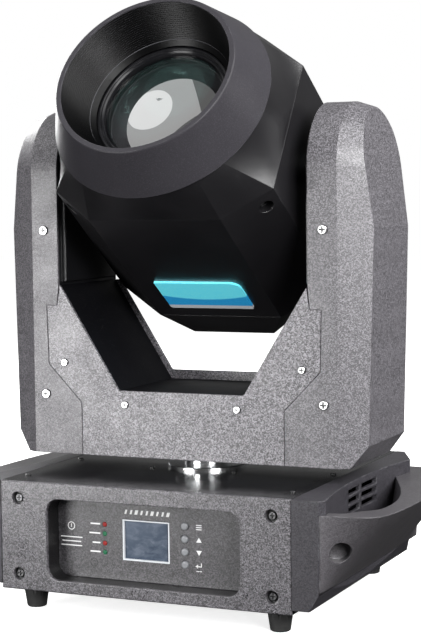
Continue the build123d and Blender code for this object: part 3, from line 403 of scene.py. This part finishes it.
def badge(name, node, axis):
    """A clear-coated plate: pale blue above a shallow arc, deep blue below, a silver lower edge, with a
    faint glow of its own colours as painted light.
    """
    low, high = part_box(node)
    middle, across = (low + high) / 2, 49 * MM
    g = Graph(name)
    side = g.math("MULTIPLY", g.along((1, 0, 0), middle), 1 / across)
    down = g.along(axis, middle)
    arc = g.math("SUBTRACT", down, g.math("MULTIPLY", g.math("MULTIPLY", side, side), 7 * MM))
    flecks = g.ramp(g.noise(0.9 * MM, 3.0, 0.7), 0.35, 0.7)
    upper = g.mix(flecks, (0.10, 0.78, 1.0), (0.24, 0.92, 1.0))
    lower = g.mix(flecks, (0.02, 0.28, 0.62), (0.03, 0.40, 0.76))
    tone = g.mix(g.ramp(arc, -8 * MM, -6 * MM), lower, upper)
    silver = g.mix(flecks, (0.45, 0.47, 0.5), (0.6, 0.62, 0.64))
    tone = g.mix(g.ramp(down, -20 * MM, -19 * MM), silver, tone)
    # painted light: the badge glows faintly in its own colours though it is no lamp
    g.set(Base_Color=tone, Roughness=g.ramp(flecks, 0, 1, 0.18, 0.26), Normal=g.bump(flecks, 0.00002),
          Emission_Color=tone, Emission_Strength=0.14, Coat_Weight=1.0, Coat_Roughness=0.05)
    return g.material


# The head at rest: its beam leans back, and distances run from the tilt axis.
TILT = math.radians(33.64)
BEAM = Vector((0, -math.cos(TILT), math.sin(TILT)))
HEAD_UP = Vector((0, math.sin(TILT), math.cos(TILT)))
TILT_AXIS = Vector(next(j for j in frame["joints"] if j["name"] == "tilt")["pos_m"])
LENS_CLEAR_R = 62.4 * MM

# The hood's bore: ribs stand in it from just behind its lip, and it narrows towards the lens.
HOOD_FRONT, LIP = 168.5 * MM, 1.2 * MM
RIB_FRONT, RIB_DEPTH, RIB_HEIGHT, RIBS = HOOD_FRONT - 2 * MM, 42.5 * MM, 2.5 * MM, 19
RIB_PITCH = RIB_DEPTH / RIBS
BORE_RADIUS, BORE_TAPER = 89.3 * MM, 12.3 * MM / RIB_DEPTH
# Colours in the bore: a painted highlight on each rib's crest, and painted shade in the grooves and on the
# floor past the ribs.
RIB_CREST_PAINTED_HIGHLIGHT, RIB_GROOVE_PAINTED_SHADE, BORE_FLOOR_PAINTED_SHADE = (0.120, 0.120, 0.130), (0.0005, 0.0005, 0.0006), (0.001, 0.001, 0.0012)

# Screw heads: the way that each set faces, and where its flat tops are.
DRIVE_DEPTH = 0.4 * MM
YOKE_SCREWS_LOW, YOKE_SCREWS_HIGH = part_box("yoke_screws")
BASE_SCREWS_LOW, BASE_SCREWS_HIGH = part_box("base_screws")
YOKE_HEADS = ((0, -1, 0), -YOKE_SCREWS_LOW.y), ((0, 1, 0), YOKE_SCREWS_HIGH.y)
BASE_HEADS = ((0, -1, 0), -BASE_SCREWS_LOW.y), ((0, 0, 1), BASE_SCREWS_HIGH.z)

# Painted shade: the paint colour is darkened inside the yoke's notch and inside the bezel's tub, where
# shade falls.
NOTCH_PAINTED_SHADE = (0, -1, 0), -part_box("lower_plate_rear")[1].y + 3 * MM, 0.05
TUB_PAINTED_SHADE = (0, 1, 0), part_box("front_bezel")[0].y + 3 * MM, 0.08

PAINT = (0.086, 0.082, 0.090)
CHARCOAL = (0.010, 0.0095, 0.011)
BLACK = (0.006, 0.006, 0.007)
DARK_STEEL = (0.16, 0.16, 0.165)

MATERIALS = {
    "case": powder_coat("sand_grain_paint", PAINT, 1.1 * MM, 0.00010, 0.38, 0.82),
    "rear plate": powder_coat("rear_plate_paint", PAINT, 1.1 * MM, 0.00008, 0.40, 0.72,
                              thin=NOTCH_PAINTED_SHADE),
    "bezel": powder_coat("bezel_paint", shade(PAINT, 0.66), 1.0 * MM, 0.00008, 0.31, 0.80,
                         thin=TUB_PAINTED_SHADE),
    # painted shade: the case's paint, darkened for the control panel sunk in the bezel
    "panel": powder_coat("panel_paint_painted_shade", shade(PAINT, 0.40), 1.2 * MM, 0.00008, 0.38, 0.60),
    # painted shade: the case's paint, darkened for the arm covers
    "arm": powder_coat("arm_paint_painted_shade", shade(PAINT, 0.86), 1.0 * MM, 0.00006, 0.40, 0.56),
    "top": glossy_paint("gloss_black_paint", BLACK, 0.16),
    # painted shade: near-black colour with little sheen for the base tray and the yoke's saddle, which sit
    # in shade
    "inner": glossy_paint("inner_painted_shade_black", (0.003, 0.003, 0.004), 0.50, 0.08),
    "head": moulded("head_plastic", shade(CHARCOAL, 0.6), 0.9 * MM, 0.00006, 0.34, specular=0.55),
    "hood": hood_plastic("hood_plastic", shade(CHARCOAL, 2.5), 0.9 * MM, 0.00006, 0.36),
    "handle": moulded("handle_plastic", (0.036, 0.034, 0.037), 1.0 * MM, 0.00008, 0.32, wear=0.45, edge=1.6,
                      specular=0.7, speckle=0.6),
    "side": moulded("side_plastic", shade(CHARCOAL, 1.5), 1.0 * MM, 0.00008, 0.40, wear=0.3, edge=2.0,
                    specular=0.3, speckle=0.8),
    "plastic": moulded("black_plastic", BLACK, 0.6 * MM, 0.00004, 0.34),
    "ring": moulded("lens_ring_plastic", BLACK, 0.5 * MM, 0.00002, 0.20, specular=0.12),
    "button": moulded("button_plastic", (0.16, 0.165, 0.175), 0.4 * MM, 0.00002, 0.30,
                      coat=0.15, edge=0.3),
    "rubber": rubber("black_rubber", (0.010, 0.010, 0.010)),
    "belt": rubber("belt_rubber", (0.014, 0.014, 0.014)),
    "hub": metal("turned_aluminium", (0.86, 0.87, 0.88), 0.12, (1.0, 1.0, 9.0), 0.08),
    "yoke screw": screw_metal("nickel_screw", (0.60, 0.60, 0.60), 0.28, YOKE_HEADS),
    "base screw": screw_metal("blackened_screw", DARK_STEEL, 0.30, BASE_HEADS),
    "head screw": metal("dark_head_screw", DARK_STEEL, 0.30, tarnish=0.4),
    "frame": metal("brushed_sheet", (0.52, 0.53, 0.54), 0.34, (1.0, 8.0, 8.0)),
    "bearing": metal("ground_steel", (0.62, 0.63, 0.64), 0.18, (9.0, 9.0, 1.0)),
    "wheel": metal("wheel_sheet", (0.36, 0.37, 0.38), 0.40, (6.0, 1.0, 1.0)),
    "mirror": metal("reflector_metal", (0.90, 0.90, 0.90), 0.05, tarnish=0.05),
    "motor": glossy_paint("motor_paint", (0.012, 0.012, 0.012), 0.30),
    "supply": metal("supply_case", (0.55, 0.56, 0.57), 0.42, (8.0, 1.0, 8.0)),
    "lens": front_glass("coated_glass", (0.06, 0.115, 0.108)),
    "prism": glass("prism_glass", (0.93, 0.97, 0.98), 1.52),
    "burner": glass("burner_glass", (0.97, 0.97, 0.95), 1.46),
    "red": clear_lamp("red_lamp", (0.26, 0.012, 0.010), 0.05),
    "green": clear_lamp("green_lamp", (0.015, 0.13, 0.06), 0.05),
    "board": circuit_board("circuit_board"),
    "ink": printed("white_ink", (0.72, 0.72, 0.72)),
    "display": display("display_glass", "display_module"),
    "badge": badge("badge_label", "badge", BEAM),
}

FINISH = {
    "case": ("lower_plate_front",),
    "rear plate": ("lower_plate_rear",),
    "bezel": ("front_bezel",),
    "panel": ("control_panel",),
    "arm": ("arm_cover_right", "arm_cover_left"),
    "top": ("base_top_plate",),
    "inner": ("base_tray", "saddle"),
    "head": ("head_shell", "head_rear_cap"),
    "hood": ("hood",),
    "side": ("side_shell_right", "side_shell_left"),
    "handle": ("carry_handle_right", "carry_handle_left"),
    "plastic": ("power_inlet", "power_switch", "power_rocker", "inner_cover_right", "inner_cover_left",
                "fan_frame", "fan_blades"),
    "ring": ("lens_ring",),
    "button": ("menu_button_1", "menu_button_2", "menu_button_3", "menu_button_4"),
    "rubber": ("rubber_feet",),
    "belt": ("pan_belt", "tilt_belt"),
    "hub": ("pan_hub",),
    "yoke screw": ("yoke_screws",),
    "base screw": ("base_screws",),
    "head screw": ("head_screws",),
    "frame": ("yoke_frame", "pan_motor_pulley", "tilt_motor_pulley", "tilt_axles"),
    "bearing": ("data_sockets", "pan_bearing", "tilt_bearings"),
    "wheel": ("colour_wheel", "gobo_wheel"),
    "mirror": ("reflector",),
    "motor": ("pan_motor", "tilt_motor", "wheel_motors", "head_chassis", "focus_carriage"),
    "supply": ("power_supply",),
    "lens": ("front_lens",),
    "prism": ("prism_wheel",),
    "burner": ("lamp",),
    "red": ("status_lights_red",),
    "green": ("status_lights_green",),
    "board": ("control_board", "driver_board"),
    "display": ("display_module",),
    "badge": ("badge",),
}


def dress(node, material):
    """Gives a CAD node one material."""
    obj = NODES[node]
    if not obj.material_slots:
        obj.data.materials.append(None)
    for s in obj.material_slots:
        s.link = "OBJECT"
        s.material = material


for finish_name, node_names in FINISH.items():
    for node_name in node_names:
        dress(node_name, MATERIALS[finish_name])


# ------------------------------------------------------------ marks on the control panel

PANEL_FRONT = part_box("control_panel")[0].y
INK_THICK, INK_SUNK = 0.08 * MM, 0.02 * MM
LAMP_X, LAMP_Z = -53.0, (91.8, 82.2, 72.5, 63.2)


class Marks:
    """Flat shapes on the panel's front, given in millimetres across (x) and up (z), as one thin mesh."""

    def __init__(self):
        self.mesh = bmesh.new()

    def prism(self, points):
        """A flat polygon with the ink's thickness."""
        front, back = PANEL_FRONT - INK_THICK, PANEL_FRONT + INK_SUNK
        near = [self.mesh.verts.new((x * MM, front, z * MM)) for x, z in points]
        far = [self.mesh.verts.new((x * MM, back, z * MM)) for x, z in points]
        self.mesh.faces.new(near)
        self.mesh.faces.new(far[::-1])
        for i in range(len(points)):
            j = (i + 1) % len(points)
            self.mesh.faces.new((near[j], near[i], far[i], far[j]))

    def bar(self, x, z, width, height, lean=0.0):
        """A bar centred on (x, z), leaning to the right by `lean` at its top."""
        w, h, k = width / 2, height / 2, lean / 2
        self.prism(((x - w - k, z - h), (x + w - k, z - h), (x + w + k, z + h), (x - w + k, z + h)))

    def ring(self, x, z, outer, inner, steps=32):
        for i in range(steps):
            a, b = (2 * math.pi * k / steps for k in (i, i + 1))
            self.prism([(x + r * math.cos(t), z + r * math.sin(t))
                        for r, t in ((inner, a), (outer, a), (outer, b), (inner, b))])

    def piece(self, name, material):
        bmesh.ops.remove_doubles(self.mesh, verts=self.mesh.verts, dist=0.001 * MM)
        bmesh.ops.recalc_face_normals(self.mesh, faces=self.mesh.faces)
        data = bpy.data.meshes.new(name)
        self.mesh.to_mesh(data)
        self.mesh.free()
        data.materials.append(material)
        obj = bpy.data.objects.new(name, data)
        bpy.context.scene.collection.objects.link(obj)
        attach(obj, "base")


def button_signs():
    """Right of the four buttons: three lines, up, down, and a bent arrow over a line."""
    marks = Marks()
    middles = [sum(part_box(f"menu_button_{n}"), Vector()) / 2 / MM for n in (1, 2, 3, 4)]
    x, (lines, up, down, enter) = middles[0].x + 15.2, (m.z for m in middles)
    for i in range(3):
        marks.bar(x, lines + 1.8 - 2.1 * i, 6.0, 0.9)
    marks.prism(((x - 3.0, up - 2.4), (x + 3.0, up - 2.4), (x, up + 2.6)))
    marks.prism(((x - 3.0, down + 2.3), (x, down - 2.7), (x + 3.0, down + 2.3)))
    marks.bar(x + 0.6, enter - 0.8, 4.4, 0.9)
    marks.bar(x + 2.4, enter + 1.2, 0.9, 3.1)
    marks.prism(((x - 4.2, enter - 0.8), (x - 1.2, enter - 3.0), (x - 1.2, enter + 1.4)))
    marks.bar(x, enter - 5.6, 6.0, 0.8)
    marks.piece("button_signs", MATERIALS["ink"])


def header_mark():
    """A plain row of slanted strokes above the display, in threes of two narrow and one wide."""
    marks = Marks()
    low, high = (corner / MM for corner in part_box("display_module"))
    narrow, wide, height, lean, pitch = 2.108, 3.224, 4.4, 1.3, 5.9
    for i in range(9):
        marks.bar(low.x + 6.7 + pitch * i, high.z + 4.9, wide if i % 3 == 2 else narrow, height, lean)
    marks.piece("header_mark", MATERIALS["ink"])


def lamp_labels():
    """A bar of its own length left of each status light."""
    marks = Marks()
    for z, width in zip(LAMP_Z, (11.0, 12.5, 9.0, 11.5)):
        marks.bar(LAMP_X - 5.2 - width / 2, z + 0.2, width, 1.5)
    marks.piece("lamp_labels", MATERIALS["ink"])


def notice_block():
    """A ring over three lines, where the panel carries its notice."""
    marks = Marks()
    x, ring_z, first_line, line_pitch = -91.5, 88.0, 76.5, 4.3
    marks.ring(x, ring_z, 4.2, 3.4)
    marks.bar(x, ring_z + 0.4, 0.9, 3.6)
    for i, width in enumerate((25.0, 22.0, 24.0)):
        marks.bar(x, first_line - line_pitch * i, width, 1.1)
    marks.piece("notice_block", MATERIALS["ink"])


def stud_rings():
    """The faint outlines of the studs that are pressed into the panel from behind."""
    marks = Marks()
    for x in (-65.6, 48.7):
        for z in (52.0, 107.3):
            marks.ring(x, z, 4.4, 3.7, 40)
    marks.piece("stud_rings", MATERIALS["bezel"])


button_signs()
header_mark()
lamp_labels()
notice_block()
stud_rings()


# ------------------------------------------------------------ stage, lights and camera

FLOOR_GLOW, FLOOR_HALF, FLOOR_GAP = 0.75, 9.0, 0.0005
OVER_LENS = Vector((-0.520, -0.400, 0.755))
WORLD_LOW, WORLD_HIGH = 0.02, 0.30


def floor():
    """A pale floor that shades the object's underside but doesn't light or mirror in it."""
    mesh = bpy.data.meshes.new("floor")
    r, z = FLOOR_HALF, CAD_LOW.z - FLOOR_GAP
    mesh.from_pydata([(-r, -r, z), (r, -r, z), (r, r, z), (-r, r, z)], [], [(0, 1, 2, 3)])
    obj = bpy.data.objects.new("floor", mesh)
    bpy.context.scene.collection.objects.link(obj)
    g = Graph("studio_floor")
    g.set(Base_Color=g.mix(g.noise(0.8, 2.0), (0.86, 0.86, 0.86), (0.90, 0.90, 0.90)), Roughness=0.75,
          Emission_Color=(1.0, 1.0, 1.0, 1.0), Emission_Strength=FLOOR_GLOW)
    obj.data.materials.append(g.material)
    obj.visible_diffuse = False
    obj.visible_glossy = False


def area_light(name, target, offset, size, power, shape="RECTANGLE"):
    """A softbox at an offset from what it faces, all in metres and watts."""
    data = bpy.data.lights.new(name, "AREA")
    data.shape, data.energy = shape, power
    data.size, data.size_y = size
    obj = bpy.data.objects.new(name, data)
    bpy.context.scene.collection.objects.link(obj)
    obj.location = target + Vector(offset)
    obj.rotation_euler = (target - obj.location).to_track_quat("-Z", "Y").to_euler()


def lights():
    """A low key at the left, fills at the right and behind, and two overhead for the lens to mirror."""
    centre = (CAD_LOW + CAD_HIGH) / 2
    lens = sum(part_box("front_lens"), Vector()) / 2
    area_light("key_softbox", centre, (-0.85, -1.47, -0.10), (0.7, 0.42), 22.0)
    area_light("fill_softbox", centre, (1.90, -1.75, 0.75), (1.0, 1.2), 90.0)
    area_light("top_softbox", lens, OVER_LENS * 2.0 + Vector((-0.24, 0.12, 0)), (3.4, 2.9), 21.0)
    area_light("top_disc", lens, OVER_LENS * 1.8, (1.22, 0.98), 3.1, "ELLIPSE")
    area_light("right_softbox", centre, (1.9, -0.3, 1.5), (1.5, 1.9), 105.0)
    area_light("rear_softbox", centre, (-2.3, 1.6, 0.8), (1.2, 1.2), 70.0)


def backdrop():
    """White where the camera sees it; as light, dim below and brighter above."""
    world = bpy.data.worlds.new("studio")
    bpy.context.scene.world = world
    world.use_nodes = True
    tree = world.node_tree
    back = tree.nodes["Background"]
    back.inputs["Color"].default_value = (1.0, 1.0, 1.0, 1.0)
    place = tree.nodes.new("ShaderNodeTexCoord")
    height = tree.nodes.new("ShaderNodeSeparateXYZ")
    tree.links.new(place.outputs["Generated"], height.inputs[0])
    sky = tree.nodes.new("ShaderNodeMapRange")
    levels = {"From Min": -0.25, "From Max": 0.5, "To Min": WORLD_LOW, "To Max": WORLD_HIGH}
    for name, value in levels.items():
        sky.inputs[name].default_value = value
    tree.links.new(height.outputs["Z"], sky.inputs["Value"])
    seen = tree.nodes.new("ShaderNodeLightPath")
    level = tree.nodes.new("ShaderNodeMath")
    level.operation = "MAXIMUM"
    tree.links.new(seen.outputs["Is Camera Ray"], level.inputs[0])
    tree.links.new(sky.outputs["Result"], level.inputs[1])
    tree.links.new(level.outputs[0], back.inputs["Strength"])
    bpy.context.scene.view_settings.view_transform = "Standard"


def camera():
    """Stands right of the front, a little above the middle, and looks slightly down."""
    data = bpy.data.cameras.new("camera")
    data.sensor_fit = "AUTO"
    data.sensor_width, data.lens = 36.0, 94.80
    data.clip_start, data.clip_end = 0.05, 50.0
    obj = bpy.data.objects.new("camera", data)
    bpy.context.scene.collection.objects.link(obj)
    centre = (CAD_LOW + CAD_HIGH) / 2
    place = centre + Vector((0.7365, -1.6183, 0.1075))
    turn, down, roll = 0.4244, 0.0697, -0.0117
    level_look = Matrix.Rotation(turn, 4, "Z") @ Matrix.Rotation(math.pi / 2 - down, 4, "X")
    obj.matrix_world = Matrix.Translation(place) @ level_look @ Matrix.Rotation(roll, 4, "Z")
    bpy.context.scene.camera = obj


floor()
lights()
backdrop()
camera()
